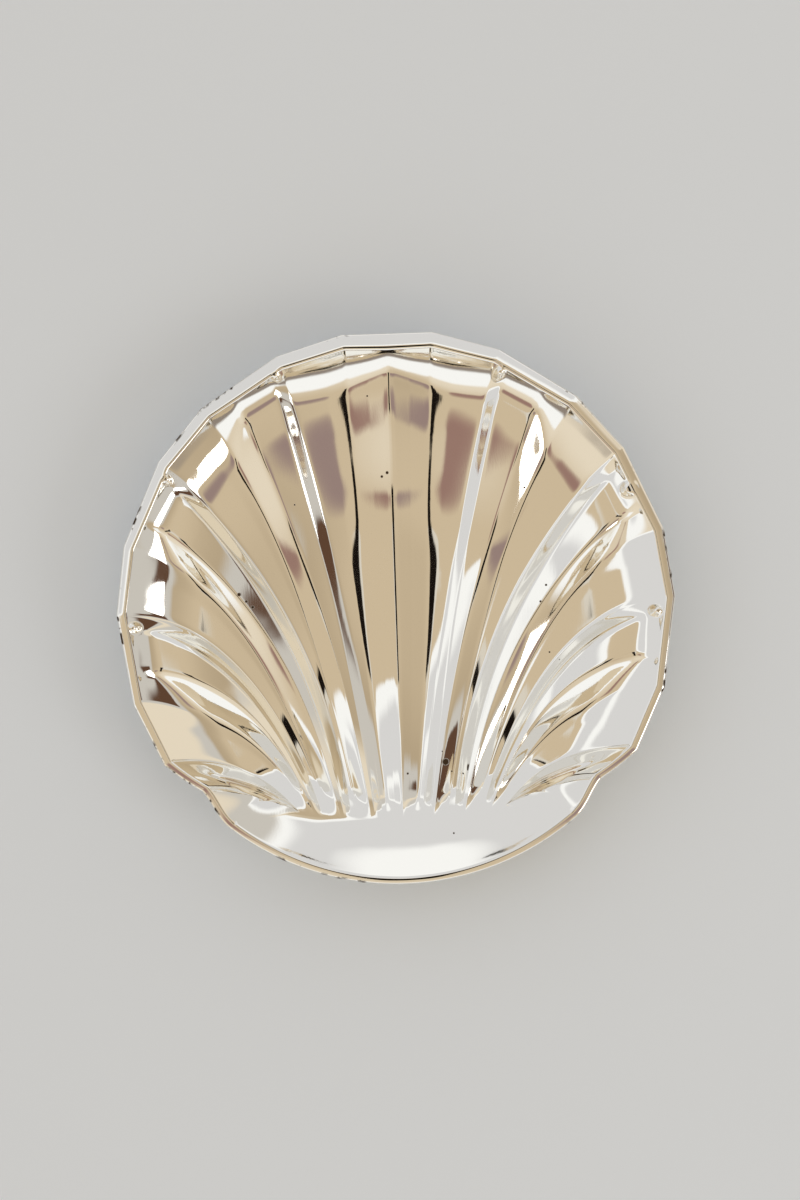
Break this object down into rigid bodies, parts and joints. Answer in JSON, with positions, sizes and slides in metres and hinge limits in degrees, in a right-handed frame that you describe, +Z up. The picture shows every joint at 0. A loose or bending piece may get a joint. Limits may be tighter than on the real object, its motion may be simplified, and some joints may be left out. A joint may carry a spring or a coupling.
{
  "type": "shell shaped platter",
  "caption": "Shallow serving dish pressed from one sheet of silver plated metal as a scallop shell, with fanned ribs, a flat turned rim and a smooth hinge.",
  "frame": {"origin": "on the table, under the middle of the dish's outline", "axes": "+Z up, out of the dish; +Y from the hinge to the top of the fan; +X across the dish, to the right when it is seen from above with the hinge nearest"},
  "size_m": [0.23, 0.2266, 0.031],
  "materials": {
    "silver_plate": "mirror polished silver plate, worn dark in specks along the turned edge"
  },
  "bodies": {
    "root": {"shell_dish": "silver_plate"}
  },
  "joints": []
}
